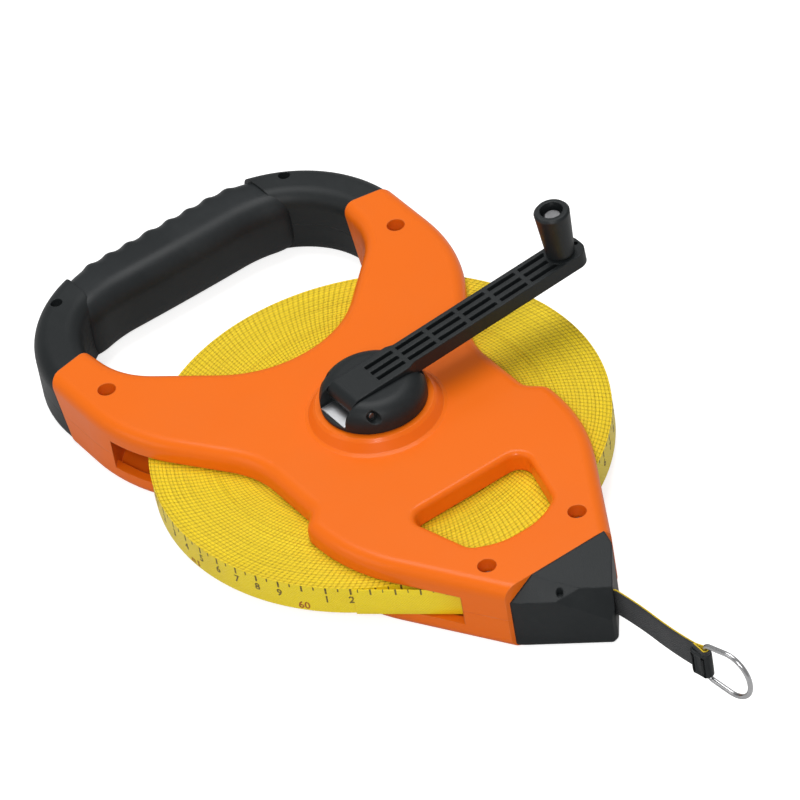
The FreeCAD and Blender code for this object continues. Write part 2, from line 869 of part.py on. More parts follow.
def crank_arm():
    end_y = arm_reach + arm_end_radius
    plan = prism([
        (-arm_half_width, arm_pad_end + 3.0, 3.0), (-arm_pad_half_width, arm_pad_end, 3.0),
        (-arm_pad_half_width, pin_y - arm_tail_radius, 0.0),
        (arm_pad_half_width, pin_y - arm_tail_radius, 0.0),
        (arm_pad_half_width, arm_pad_end, 3.0), (arm_half_width, arm_pad_end + 3.0, 3.0),
        (arm_half_width, end_y, 5.5), (-arm_half_width, end_y, 5.5)], arm_bottom, arm_top)
    solid = plan.cut(block(-20, 20, -60, pin_y, 0, 100))
    tail = Part.makeCylinder(
        arm_tail_radius, 2.0 * arm_pad_half_width, at(-arm_pad_half_width, pin_y, pin_z), at(1, 0, 0))
    solid = solid.fuse(tail).removeSplitter()
    for column in (-1, 0, 1):
        for row in range(slot_rows):
            low = slot_start + row * slot_pitch
            x = column * slot_spacing
            slot = block(
                x - slot_width / 2.0, x + slot_width / 2.0, low, low + slot_length,
                arm_top - slot_depth, arm_top + 1.0)
            solid = solid.cut(slot)
    boss = cylinder(knob_boss_radius, arm_top - 0.5, arm_top + sliding / 2.0, 0.0, arm_reach)
    solid = solid.fuse(boss)
    solid = solid.cut(cylinder(knob_pin_radius + seat, arm_bottom - 1.0, arm_top + 2.0, 0.0, arm_reach))
    solid = solid.cut(cylinder(1.1, arm_top - 1.5, arm_top + 1.0, 0.0, arm_reach + arm_end_radius - 1.9))
    bore = Part.makeCylinder(
        pin_radius + running, 2.0 * hub_radius, at(-hub_radius, pin_y, pin_z), at(1, 0, 0))
    return raised(solid.cut(bore))


def knob_pin():
    seat_z = knob_top - knob_recess + sliding
    shank = cylinder(knob_pin_radius, arm_bottom, seat_z + 0.5, 0.0, arm_reach)
    head = cylinder(knob_head_radius, seat_z, seat_z + knob_head, 0.0, arm_reach)
    top = edges_in_plane(head, seat_z + knob_head)
    head = head.makeFillet(knob_head_round, top)
    return raised(shank.fuse(head).removeSplitter())


def crank_knob():
    outline = [
        (0.0, knob_bottom), (knob_base_radius - 1.0, knob_bottom), (knob_base_radius, knob_bottom + 1.2),
        (knob_top_radius, knob_top - 1.0), (knob_top_radius - 0.8, knob_top), (0.0, knob_top)]
    solid = revolved(outline)
    solid.translate(at(0, arm_reach, 0))
    solid = solid.cut(cylinder(knob_recess_radius, knob_top - knob_recess, knob_top + 1.0, 0.0, arm_reach))
    return raised(solid.cut(cylinder(knob_pin_radius + running, knob_bottom - 1.0, knob_top, 0.0, arm_reach)))


def upward_plane(first, second, third):
    # Half space above the plane through three points.
    normal = (second - first).cross(third - first)
    if normal.z < 0.0:
        normal = normal * -1.0
    return half_space(first, normal)


def mouth_corners():
    return [
        (nose_x, -mouth_back_half, 0.0), (nose_x + mouth_chamfer, -mouth_back_half + mouth_chamfer, 1.0),
        (mouth_tip_x, mouth_tip_y, mouth_corner_round),
        (mouth_tip_x - 0.8, mouth_tip_y + mouth_tip_width, mouth_corner_round),
        (mouth_corner_x, mouth_corner_y, mouth_corner_round), (nose_x, mouth_corner_y + 1.0, 0.0)]


def mouth_guard():
    # Wedge with a sloping top, a bevel along its left side and a facet at its tip.
    solid = prism(mouth_corners(), 0.0, frame_height)
    lower = [edge for edge in edges_in_plane(solid, 0.0) if edge.BoundBox.XMax > nose_x + 0.1]
    solid = solid.makeFillet(mouth_round, lower)
    ridge_z = frame_height - mouth_bevel
    start = at(nose_x + mouth_chamfer, -mouth_back_half + mouth_chamfer, ridge_z)
    tip = at(mouth_tip_x, mouth_tip_y, ridge_z)
    ahead = (tip - start).normalize()
    solid = solid.cut(upward_plane(
        at(nose_x, 0.0, frame_height - mouth_top_step), at(nose_x, nose_half, frame_height - mouth_top_step),
        at(mouth_tip_x, mouth_tip_y, mouth_tip_height)))
    inward = at(-ahead.y, ahead.x)
    solid = solid.cut(upward_plane(start, tip, start + inward * mouth_bevel + at(0, 0, mouth_bevel)))
    facet_back = start + ahead * mouth_facet_start
    facet_side = tip + inward * mouth_facet_width + at(0, 0, mouth_tip_height - ridge_z)
    facet_low = at(tip.x, tip.y, ridge_z - mouth_facet_drop)
    solid = solid.cut(upward_plane(facet_back, facet_side, facet_low))
    lug = mouth_lug_space(0.0).common(block(0, nose_x, -50, 50, 0, frame_height))
    solid = solid.fuse(lug).removeSplitter()
    solid = solid.cut(tape_slab(mouth_slot_start, mouth_slot_end, mouth_slot, plate_over, plate_under))
    pin_hole = cylinder(mouth_pin_radius + seat, mouth_pin_bottom, frame_height, mouth_pin_x, mouth_pin_y)
    return solid.cut(pin_hole)


def mouth_pin():
    return cylinder(mouth_pin_radius, mouth_pin_bottom, mouth_pin_top, mouth_pin_x, mouth_pin_y)


def tape_run():
    return tape_slab(run_lead, run_end, tape_thickness, roll_bottom, roll_top)


def ribbon(start, heading, moves, thickness, bottom, top):
    # Flat strip on edge that follows lines and arcs; positive angles turn to the left.
    left = []
    right = []
    turn = math.radians(heading)
    point = start
    for kind, size, angle in moves:
        side = at(-math.sin(turn), math.cos(turn))
        if kind == "line":
            after = point + at(math.cos(turn), math.sin(turn)) * size
            reach = side * (thickness / 2.0)
            left.append(Part.LineSegment(point + reach, after + reach).toShape())
            right.append(Part.LineSegment(point - reach, after - reach).toShape())
            point = after
            continue
        way = 1.0 if angle > 0.0 else -1.0
        centre = point + side * (way * size)
        for strip, offset in ((left, thickness / 2.0), (right, -thickness / 2.0)):
            radius = size - way * offset
            places = []
            for share in (0.0, 0.5, 1.0):
                bearing = turn + math.radians(angle) * share - way * math.pi / 2.0
                places.append(centre + at(math.cos(bearing), math.sin(bearing)) * radius)
            strip.append(Part.Arc(places[0], places[1], places[2]).toShape())
        turn = turn + math.radians(angle)
        bearing = turn - way * math.pi / 2.0
        point = centre + at(math.cos(bearing), math.sin(bearing)) * size
    first = Part.LineSegment(right[0].firstVertex().Point, left[0].firstVertex().Point).toShape()
    last = Part.LineSegment(left[-1].lastVertex().Point, right[-1].lastVertex().Point).toShape()
    wire = Part.Wire(Part.__sortEdges__(left + right + [first, last]))
    solid = Part.Face(wire).extrude(at(0, 0, top - bottom))
    solid.translate(at(0, 0, bottom))
    return solid, point, math.degrees(turn)


def strap():
    start = along_tape(strap_start)
    moves = [
        ("arc", strap_bend_round, strap_bend), ("arc", strap_sag_round, strap_sag),
        ("arc", strap_lift_round, strap_lift)]
    return ribbon(
        start, tape_heading, moves, strap_thickness, half_height - strap_width / 2.0,
        half_height + strap_width / 2.0)


def tape_leader():
    return strap()[0].cut(rivet_shape(seat))


def placed_at_strap_end(shape, ahead):
    solid, end, heading = strap()
    shape.rotate(at(0, 0, 0), at(0, 0, 1), heading)
    way = at(math.cos(math.radians(heading)), math.sin(math.radians(heading)))
    shape.translate(end + way * ahead)
    return shape


def end_clasp():
    half = clasp_thickness / 2.0
    high = clasp_height / 2.0
    body = prism([
        (-clasp_overlap, -half, clasp_round), (clasp_length - clasp_overlap, -half, clasp_round),
        (clasp_length - clasp_overlap, half, clasp_round), (-clasp_overlap, half, clasp_round)],
        half_height - high, half_height + high)
    body = body.cut(cylinder(ring_wire_radius + running, 0.0, frame_height, ring_bar_ahead, 0.0))
    return placed_at_strap_end(body, 0.0).cut(strap()[0]).cut(rivet_shape(seat))


def rivet_shape(grow):
    half = clasp_thickness / 2.0 + rivet_proud
    rivet = Part.makeCylinder(
        rivet_radius + grow, 2.0 * half, at(-rivet_back, -half, half_height), at(0, 1, 0))
    return placed_at_strap_end(rivet, 0.0)


def clasp_rivet():
    return rivet_shape(0.0)


def end_ring():
    corners = [
        (0.0, -ring_bar_half, ring_bar_round), (ring_length, -ring_end_half, ring_end_round),
        (ring_length, ring_end_half, ring_end_round), (0.0, ring_bar_half, ring_bar_round)]
    path = rounded_wire(corners)
    start = path.Edges[0].firstVertex().Point
    tangent = path.Edges[0].tangentAt(path.Edges[0].FirstParameter)
    profile = Part.Wire([Part.Circle(start, tangent, ring_wire_radius).toShape()])
    solid = path.makePipeShell([profile], True, False)
    solid.rotate(at(0, 0, 0), at(1, 0, 0), 90)
    solid.translate(at(0, 0, half_height))
    return placed_at_strap_end(solid, ring_bar_ahead)


parts = {
    "upper_shell": upper_shell,
    "lower_shell": lower_shell,
    "frame_screws": frame_screws,
    "handle_upper": lambda: handle_half(True),
    "handle_lower": lambda: handle_half(False),
    "handle_screws": handle_screws,
    "grip_sleeve": grip_sleeve,
    "mouth_guard": mouth_guard,
    "mouth_pin": mouth_pin,
    "upper_bush": upper_bush,
    "lower_bush": lower_bush,
    "back_cap": back_cap,
    "tape_run": tape_run,
    "reel_drum": reel_drum,
    "tape_anchor_pin": tape_anchor_pin,
    "tape_roll": tape_roll,
    "drum_axle": drum_axle,
    "axle_washer": axle_washer,
    "axle_screw": axle_screw,
    "friction_washer": friction_washer_ring,
    "crank_hub": crank_hub,
    "detent_spring": detent_spring,
    "hinge_pin": hinge_pin,
    "crank_arm": crank_arm,
    "knob_pin": knob_pin,
    "crank_knob": crank_knob,
    "tape_leader": tape_leader,
    "end_clasp": end_clasp,
    "clasp_rivet": clasp_rivet,
    "end_ring": end_ring,
}

os.makedirs("parts", exist_ok=True)
for name, make in parts.items():
    shape = make()
    shape.exportStep("parts/" + name + ".step")
    print(name, "solids", len(shape.Solids), "volume", round(shape.Volume), "valid", shape.isValid())
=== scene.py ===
import json
import math
import random
import bpy
from mathutils import Matrix, Quaternion, Vector


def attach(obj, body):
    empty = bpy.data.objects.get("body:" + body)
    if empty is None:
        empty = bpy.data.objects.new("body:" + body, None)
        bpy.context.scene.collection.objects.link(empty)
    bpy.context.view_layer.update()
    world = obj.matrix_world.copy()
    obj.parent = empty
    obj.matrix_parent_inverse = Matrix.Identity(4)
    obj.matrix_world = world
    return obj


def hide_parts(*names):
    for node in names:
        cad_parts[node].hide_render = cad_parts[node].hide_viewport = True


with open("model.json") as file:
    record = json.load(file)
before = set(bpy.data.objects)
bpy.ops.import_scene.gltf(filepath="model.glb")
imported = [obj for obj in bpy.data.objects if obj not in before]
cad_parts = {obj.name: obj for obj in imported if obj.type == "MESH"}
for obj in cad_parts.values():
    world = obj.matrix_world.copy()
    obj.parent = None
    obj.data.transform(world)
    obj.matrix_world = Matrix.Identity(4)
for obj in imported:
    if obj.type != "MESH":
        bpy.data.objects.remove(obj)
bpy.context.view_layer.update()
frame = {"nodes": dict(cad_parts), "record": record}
nodes = frame["nodes"]
mm = 0.001
print("frame loaded,", len(nodes), "carried nodes")


# small helpers for selecting, finishing and placing a piece
def objectMode():
    if bpy.context.object and bpy.context.object.mode != "OBJECT":
        bpy.ops.object.mode_set(mode="OBJECT")


def clearSelection():
    objectMode()
    bpy.ops.object.select_all(action="DESELECT")


def only(piece):
    clearSelection()
    piece.select_set(True)
    bpy.context.view_layer.objects.active = piece


def started(name):
    piece = bpy.context.object
    piece.name = name
    piece.data.name = name
    return piece


def pick(piece, kind, test):
    # leaves the piece in edit mode with what the test accepts selected
    only(piece)
    bpy.ops.object.mode_set(mode="EDIT")
    bpy.ops.mesh.select_mode(type=kind)
    bpy.ops.mesh.select_all(action="DESELECT")
    bpy.ops.object.mode_set(mode="OBJECT")
    group = {"FACE": piece.data.polygons, "EDGE": piece.data.edges, "VERT": piece.data.vertices}[kind]
    for part in group:
        part.select = bool(test(part))
    bpy.ops.object.mode_set(mode="EDIT")


def applyAll(piece):
    only(piece)
    bpy.ops.object.transform_apply(location=True, rotation=True, scale=True)
    for modifier in list(piece.modifiers):
        bpy.ops.object.modifier_apply(modifier=modifier.name)


def outward(piece):
    only(piece)
    bpy.ops.object.mode_set(mode="EDIT")
    bpy.ops.mesh.select_all(action="SELECT")
    bpy.ops.mesh.remove_doubles(threshold=0.000001)
    bpy.ops.mesh.normals_make_consistent(inside=False)
    bpy.ops.object.mode_set(mode="OBJECT")


def smooth(piece, degrees=35):
    only(piece)
    bpy.ops.object.shade_smooth_by_angle(angle=math.radians(degrees))


def place(piece, body, material, replaced=()):
    piece.data.materials.clear()
    for entry in material if isinstance(material, (list, tuple)) else [material]:
        piece.data.materials.append(entry)
    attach(piece, body)
    if replaced:
        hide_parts(*replaced)
    return piece


# short ways to add and wire shader nodes
def node(tree, kind, **settings):
    made = tree.nodes.new(kind)
    for key, value in settings.items():
        setattr(made, key, value)
    return made


def feed(tree, socket, value):
    if isinstance(value, bpy.types.NodeSocket):
        tree.links.new(value, socket)
    else:
        socket.default_value = value


def calc(tree, operation, first, second=0.0, clamped=False):
    made = node(tree, "ShaderNodeMath", operation=operation, use_clamp=clamped)
    feed(tree, made.inputs[0], first)
    feed(tree, made.inputs[1], second)
    return made.outputs[0]


def spread(tree, value, low, high, newLow=0.0, newHigh=1.0):
    made = node(tree, "ShaderNodeMapRange", clamp=True)
    for index, entry in enumerate((value, low, high, newLow, newHigh)):
        feed(tree, made.inputs[index], entry)
    return made.outputs[0]


def mixed(tree, share, first, second):
    made = node(tree, "ShaderNodeMix", data_type="RGBA")
    feed(tree, made.inputs[0], share)
    feed(tree, made.inputs[6], first)
    feed(tree, made.inputs[7], second)
    return made.outputs[2]


def noise(tree, vector, scale, detail=2.0, roughness=0.5):
    made = node(tree, "ShaderNodeTexNoise")
    feed(tree, made.inputs["Vector"], vector)
    feed(tree, made.inputs["Scale"], scale)
    feed(tree, made.inputs["Detail"], detail)
    feed(tree, made.inputs["Roughness"], roughness)
    return made.outputs["Fac"]


def objectPlace(tree):
    return node(tree, "ShaderNodeTexCoord").outputs["Object"]


def newGroup(name, inputs, outputs):
    group = bpy.data.node_groups.new(name, "ShaderNodeTree")
    for socketName, kind, value in inputs:
        socket = group.interface.new_socket(name=socketName, in_out="INPUT", socket_type=kind)
        socket.default_value = value
    for socketName, kind in outputs:
        group.interface.new_socket(name=socketName, in_out="OUTPUT", socket_type=kind)
    return group, node(group, "NodeGroupInput").outputs, node(group, "NodeGroupOutput").inputs


def useGroup(tree, group, **values):
    made = node(tree, "ShaderNodeGroup", node_tree=group)
    for key, value in values.items():
        feed(tree, made.inputs[key], value)
    return made.outputs


decimal = "NodeSocketFloat"


def makeEdgeWearHighlight():
    # where an edge is rounded off by rubbing, lightened as rubbed wear and as a painted edge highlight: the
    # bevelled normal leaves the true one
    group, given, out = newGroup(
        "edgeWearHighlight", [("Width", decimal, 0.0008), ("Amount", decimal, 1.0)], [("Mask", decimal)])
    bevel = node(group, "ShaderNodeBevel", samples=4)
    feed(group, bevel.inputs["Radius"], given["Width"])
    geometry = node(group, "ShaderNodeNewGeometry")
    product = node(group, "ShaderNodeVectorMath", operation="DOT_PRODUCT")
    feed(group, product.inputs[0], bevel.outputs[0])
    feed(group, product.inputs[1], geometry.outputs["Normal"])
    edge = spread(group, product.outputs["Value"], 0.995, 0.86)
    patchy = spread(group, noise(group, objectPlace(group), 160.0, 3.0), 0.35, 0.65)
    wornHighlight = calc(group, "MULTIPLY", edge, patchy)
    feed(group, out["Mask"], calc(group, "MULTIPLY", wornHighlight, given["Amount"], True))
    return group


def makeFineGrain():
    # moulded texture: a fine spark-eroded grain over a slow ripple
    group, given, out = newGroup(
        "fineGrain", [("Scale", decimal, 1500.0), ("Ripple", decimal, 0.3)],
        [("Height", decimal), ("Tone", decimal)])
    where = objectPlace(group)
    fine = noise(group, where, given["Scale"], 2.0, 0.6)
    slow = noise(group, where, 55.0, 1.0)
    rippled = calc(group, "MULTIPLY", slow, given["Ripple"])
    feed(group, out["Height"], calc(group, "ADD", fine, rippled))
    feed(group, out["Tone"], noise(group, where, 18.0, 3.0))
    return group


def makeHandling():
    # smudges and rubbed patches from hands, broad with a finer break-up
    group, given, out = newGroup(
        "handlingMarks", [("Scale", decimal, 30.0), ("Amount", decimal, 0.5)], [("Mask", decimal)])
    where = objectPlace(group)
    broad = spread(group, noise(group, where, given["Scale"], 4.0, 0.62), 0.42, 0.72)
    fine = spread(group, noise(group, where, 420.0, 2.0), 0.3, 0.75, 0.55, 1.0)
    both = calc(group, "MULTIPLY", broad, fine)
    feed(group, out["Mask"], calc(group, "MULTIPLY", both, given["Amount"], True))
    return group


def makeAround():
    # place on the reel in millimetres: along the rim, out from the axle, and up
    group, given, out = newGroup(
        "aroundAxle", [("Rim", decimal, 94.0)], [("Along", decimal), ("Out", decimal), ("Up", decimal)])
    split = node(group, "ShaderNodeSeparateXYZ")
    feed(group, split.inputs[0], objectPlace(group))
    angle = calc(group, "ARCTAN2", split.outputs[1], split.outputs[0])
    feed(group, out["Along"], calc(group, "MULTIPLY", angle, given["Rim"]))
    across = calc(group, "MULTIPLY", split.outputs[0], split.outputs[0])
    along = calc(group, "MULTIPLY", split.outputs[1], split.outputs[1])
    radius = calc(group, "SQRT", calc(group, "ADD", across, along))
    feed(group, out["Out"], calc(group, "MULTIPLY", radius, 1000.0))
    feed(group, out["Up"], calc(group, "MULTIPLY", split.outputs[2], 1000.0))
    return group


def makeTapePrint():
    # centimetre strokes hanging from the tape's upper edge, shorter ones for the halves
    group, given, out = newGroup(
        "tapeStrokes",
        [("Along", decimal, 0.0), ("Down", decimal, 0.0), ("Pitch", decimal, 10.0),
         ("Length", decimal, 3.0), ("Width", decimal, 0.5)],
        [("Mask", decimal)])

    def strokes(pitch, length, width):
        share = calc(group, "DIVIDE", given["Along"], pitch)
        ahead = calc(group, "ADD", share, 500.0)
        phase = calc(group, "ABSOLUTE", calc(group, "SUBTRACT", calc(group, "FRACT", ahead), 0.5))
        distance = calc(group, "MULTIPLY", calc(group, "SUBTRACT", 0.5, phase), pitch)
        thin = calc(group, "LESS_THAN", distance, calc(group, "MULTIPLY", width, 0.5))
        return calc(group, "MULTIPLY", thin, calc(group, "LESS_THAN", given["Down"], length))

    whole = strokes(given["Pitch"], given["Length"], given["Width"])
    half = strokes(
        calc(group, "MULTIPLY", given["Pitch"], 0.5), calc(group, "MULTIPLY", given["Length"], 0.55),
        calc(group, "MULTIPLY", given["Width"], 0.6))
    feed(group, out["Mask"], calc(group, "MAXIMUM", whole, half))
    return group


def makeWeave():
    # plain weave seen through a thin coating
    group, given, out = newGroup(
        "coatedWeave", [("Along", decimal, 0.0), ("Across", decimal, 0.0), ("Thread", decimal, 0.5)],
        [("Height", decimal), ("Gap", decimal)])
    turn = calc(group, "DIVIDE", math.pi, given["Thread"])
    warp = calc(group, "SINE", calc(group, "MULTIPLY", given["Along"], turn))
    weft = calc(group, "SINE", calc(group, "MULTIPLY", given["Across"], turn))
    height = calc(group, "MULTIPLY", warp, weft)
    feed(group, out["Height"], height)
    feed(group, out["Gap"], spread(group, calc(group, "ABSOLUTE", height), 0.28, 0.02))
    return group


edgeWearHighlight = makeEdgeWearHighlight()
fineGrain = makeFineGrain()
handlingMarks = makeHandling()
aroundAxle = makeAround()
tapeStrokes = makeTapePrint()
coatedWeave = makeWeave()


surfaceIor = 1.45


def startMaterial(name, metallic=0.0, coat=0.0, coatRoughness=0.1, specular=0.5):
    material = bpy.data.materials.new(name)
    material.use_nodes = True
    tree = material.node_tree
    shader = tree.nodes["Principled BSDF"]
    shader.inputs["Metallic"].default_value = metallic
    shader.inputs["Coat Weight"].default_value = coat
    shader.inputs["Coat Roughness"].default_value = coatRoughness
    shader.inputs["IOR"].default_value = surfaceIor
    shader.inputs["Specular IOR Level"].default_value = specular
    return material, tree, shader


def softNormal(tree, shader, height, depth, radius):
    # every sharp moulded edge carries a small round
    bevel = node(tree, "ShaderNodeBevel", samples=6)
    bevel.inputs["Radius"].default_value = radius
    bump = node(tree, "ShaderNodeBump")
    bump.inputs["Distance"].default_value = depth
    bump.inputs["Strength"].default_value = 1.0
    feed(tree, bump.inputs["Height"], height)
    feed(tree, bump.inputs["Normal"], bevel.outputs[0])
    feed(tree, shader.inputs["Normal"], bump.outputs[0])


def mouldedPlastic(name, look):
    material, tree, shader = startMaterial(
        name, coat=look.get("coat", 0.0), coatRoughness=look.get("coatRoughness", 0.2),
        specular=look["specular"])
    grain = useGroup(tree, fineGrain, Scale=look["grainScale"], Ripple=look["ripple"])
    marks = useGroup(tree, handlingMarks, Scale=look.get("markScale", 26.0), Amount=look["marks"])
    wearHighlight = useGroup(tree, edgeWearHighlight, Width=look["wearHighlightWidth"], Amount=look["wearHighlight"])
    colour = mixed(tree, grain["Tone"], look["colour"], look["shade"])
    colour = mixed(tree, marks["Mask"], colour, look["smudge"])
    # painted edge highlight with rubbed wear: rounded edges pale toward the light worn colour
    colour = mixed(tree, wearHighlight["Mask"], colour, look["wornHighlight"])
    feed(tree, shader.inputs["Base Color"], colour)
    rough = spread(tree, marks["Mask"], 0.0, 1.0, look["roughness"], look["roughness"] + look["rougher"])
    feed(tree, shader.inputs["Roughness"], rough)
    softNormal(tree, shader, grain["Height"], look["grainDepth"], look["round"])
    return material


def metal(name, look):
    material, tree, shader = startMaterial(name, metallic=1.0)
    grain = useGroup(tree, fineGrain, Scale=look["grainScale"], Ripple=0.2)
    marks = useGroup(tree, handlingMarks, Scale=60.0, Amount=look["marks"])
    feed(tree, shader.inputs["Base Color"], mixed(tree, marks["Mask"], look["colour"], look["tarnish"]))
    rough = spread(tree, marks["Mask"], 0.0, 1.0, look["roughness"], look["roughness"] + 0.2)
    feed(tree, shader.inputs["Roughness"], rough)
    softNormal(tree, shader, grain["Height"], look["grainDepth"], look["round"])
    return material


# what each moulded or metal surface looks like
# each worn colour is lighter than its base: rubbed edge wear and a painted edge highlight
orangeLook = {
    "colour": (0.93, 0.172, 0.006, 1), "shade": (0.88, 0.155, 0.005, 1),
    "smudge": (0.86, 0.165, 0.010, 1), "wornHighlight": (1.0, 0.36, 0.13, 1),
    "grainScale": 900.0, "ripple": 1.2, "grainDepth": 0.00002, "round": 0.0006,
    "roughness": 0.33, "rougher": 0.14, "marks": 0.45, "wearHighlight": 0.45, "wearHighlightWidth": 0.0006,
    "coat": 0.1, "coatRoughness": 0.12, "specular": 0.22}
blackLook = {
    "colour": (0.014, 0.0168, 0.018, 1), "shade": (0.011, 0.0135, 0.0145, 1),
    "smudge": (0.025, 0.0285, 0.030, 1), "wornHighlight": (0.075, 0.082, 0.085, 1), "specular": 0.3,
    "grainScale": 1900.0, "ripple": 0.35, "grainDepth": 0.00005, "round": 0.0009,
    "roughness": 0.42, "rougher": 0.18, "marks": 0.6, "wearHighlight": 0.55, "wearHighlightWidth": 0.0006}
gripLook = dict(blackLook)
gripLook.update({
    "colour": (0.016, 0.0188, 0.0205, 1), "shade": (0.013, 0.0155, 0.0168, 1),
    "smudge": (0.028, 0.032, 0.034, 1), "wornHighlight": (0.05, 0.055, 0.058, 1),
    "grainScale": 2400.0, "grainDepth": 0.00004, "roughness": 0.38, "rougher": 0.2, "wearHighlight": 0.2})
knobLook = dict(blackLook)
knobLook.update({"colour": (0.018, 0.0212, 0.0228, 1), "roughness": 0.36, "grainDepth": 0.00004})
bushLook = dict(blackLook)
bushLook.update({
    "colour": (0.74, 0.72, 0.66, 1), "shade": (0.68, 0.66, 0.60, 1),
    "smudge": (0.50, 0.48, 0.42, 1), "wornHighlight": (0.80, 0.79, 0.74, 1), "roughness": 0.45})
drumLook = dict(blackLook)
drumLook.update({"colour": (0.035, 0.035, 0.038, 1), "roughness": 0.5})
orangeShell = mouldedPlastic("orangeShell", orangeLook)
blackPlastic = mouldedPlastic("blackPlastic", blackLook)
softGrip = mouldedPlastic("softGrip", gripLook)
knobPlastic = mouldedPlastic("knobPlastic", knobLook)
bushPlastic = mouldedPlastic("bushPlastic", bushLook)
drumPlastic = mouldedPlastic("drumPlastic", drumLook)
turnedSteel = metal("turnedSteel", {
    "colour": (0.40, 0.40, 0.41, 1), "tarnish": (0.24, 0.24, 0.25, 1), "grainScale": 2200.0,
    "grainDepth": 0.00002, "round": 0.0002, "roughness": 0.26, "marks": 0.5})
screwSteel = metal("screwSteel", {
    "colour": (0.50, 0.50, 0.51, 1), "tarnish": (0.30, 0.29, 0.28, 1), "grainScale": 2600.0,
    "grainDepth": 0.00002, "round": 0.0002, "roughness": 0.3, "marks": 0.8})
springSteel = metal("springSteel", {
    "colour": (0.80, 0.81, 0.83, 1), "tarnish": (0.60, 0.61, 0.63, 1), "grainScale": 1800.0,
    "grainDepth": 0.00001, "round": 0.0001, "roughness": 0.32, "marks": 0.3})
brightWire = metal("brightWire", {
    "colour": (0.60, 0.60, 0.61, 1), "tarnish": (0.30, 0.30, 0.30, 1), "grainScale": 2000.0,
    "grainDepth": 0.00002, "round": 0.0001, "roughness": 0.2, "marks": 0.6})


def makeWoundEdges():
    # thousands of tape edges lying side by side, with the threads' ends showing and the grooves between them
    # darkened as painted shade
    material, tree, shader = startMaterial("woundEdges")
    here = useGroup(tree, aroundAxle, Rim=94.0)
    where = objectPlace(tree)
    coil = calc(tree, "ADD", here["Out"], calc(tree, "MULTIPLY", noise(tree, where, 22.0, 2.0), 3.0))
    layer = calc(tree, "FRACT", calc(tree, "DIVIDE", coil, 1.5))
    layerGap = spread(tree, calc(tree, "ABSOLUTE", calc(tree, "SUBTRACT", layer, 0.5)), 0.32, 0.5)
    slanted = calc(tree, "ADD", here["Along"], calc(tree, "MULTIPLY", here["Out"], 0.35))
    thread = calc(tree, "FRACT", calc(tree, "ADD", calc(tree, "DIVIDE", slanted, 2.4), 500.0))
    threadGap = spread(tree, calc(tree, "ABSOLUTE", calc(tree, "SUBTRACT", thread, 0.5)), 0.26, 0.5)
    speckle = noise(tree, where, 900.0, 2.0, 0.6)
    both = calc(tree, "MULTIPLY", layerGap, 0.55)
    both = calc(tree, "ADD", both, calc(tree, "MULTIPLY", threadGap, 0.62))
    both = calc(tree, "MULTIPLY", both, spread(tree, speckle, 0.25, 0.6, 0.45, 1.1), True)
    ringed = noise(tree, combined(tree, here["Out"]), 0.33, 3.0, 0.7)
    broad = noise(tree, where, 26.0, 2.0)
    colour = mixed(tree, spread(tree, ringed, 0.42, 0.68), (0.95, 0.70, 0.010, 1), (0.78, 0.56, 0.008, 1))
    colour = mixed(tree, spread(tree, broad, 0.4, 0.75, 0.0, 0.5), colour, (0.82, 0.58, 0.010, 1))
    # painted shade: the grooves between turns and thread ends darkened toward brown, by the same mask that
    # sinks them in the bump
    colour = mixed(tree, calc(tree, "MULTIPLY", both, 0.8), colour, (0.40, 0.27, 0.005, 1))
    feed(tree, shader.inputs["Base Color"], colour)
    shader.inputs["Roughness"].default_value = 0.62
    height = calc(tree, "SUBTRACT", speckle, calc(tree, "MULTIPLY", both, 1.6))
    softNormal(tree, shader, height, 0.00022, 0.0001)
    return material


def combined(tree, value):
    made = node(tree, "ShaderNodeCombineXYZ")
    feed(tree, made.inputs[0], value)
    return made.outputs[0]


printedFace = {"rim": 94.0, "top": 22.5, "marks": 59, "stroke": 2.6, "wide": 0.75, "thread": 0.62}


def tapeFace(tree, shader, along, up):
    weave = useGroup(tree, coatedWeave, Along=along, Across=up, Thread=printedFace["thread"])
    down = calc(tree, "SUBTRACT", printedFace["top"], up)
    pitch = 2.0 * math.pi * printedFace["rim"] / printedFace["marks"]
    strokes = useGroup(
        tree, tapeStrokes, Along=along, Down=down, Pitch=pitch, Length=printedFace["stroke"],
        Width=printedFace["wide"])
    soiled = useGroup(tree, handlingMarks, Scale=40.0, Amount=0.35)
    colour = mixed(tree, weave["Gap"], (0.98, 0.76, 0.012, 1), (0.92, 0.68, 0.010, 1))
    colour = mixed(tree, soiled["Mask"], colour, (0.74, 0.49, 0.02, 1))
    colour = mixed(tree, calc(tree, "MULTIPLY", strokes["Mask"], 0.85), colour, (0.05, 0.035, 0.02, 1))
    feed(tree, shader.inputs["Base Color"], colour)
    shader.inputs["Roughness"].default_value = 0.42
    softNormal(tree, shader, weave["Height"], 0.00006, 0.0001)


def makeRimTape():
    material, tree, shader = startMaterial("rimTape", coat=0.1)
    here = useGroup(tree, aroundAxle, Rim=94.0)
    tapeFace(tree, shader, here["Along"], here["Up"])
    return material


def makeRunTape(heading):
    material, tree, shader = startMaterial("runTape", coat=0.1)
    turned = node(tree, "ShaderNodeMapping", vector_type="POINT")
    turned.inputs["Rotation"].default_value = (0.0, 0.0, -heading)
    turned.inputs["Scale"].default_value = (1000.0, 1000.0, 1000.0)
    feed(tree, turned.inputs["Vector"], objectPlace(tree))
    split = node(tree, "ShaderNodeSeparateXYZ")
    feed(tree, split.inputs[0], turned.outputs[0])
    tapeFace(tree, shader, split.outputs[0], split.outputs[2])
    return material


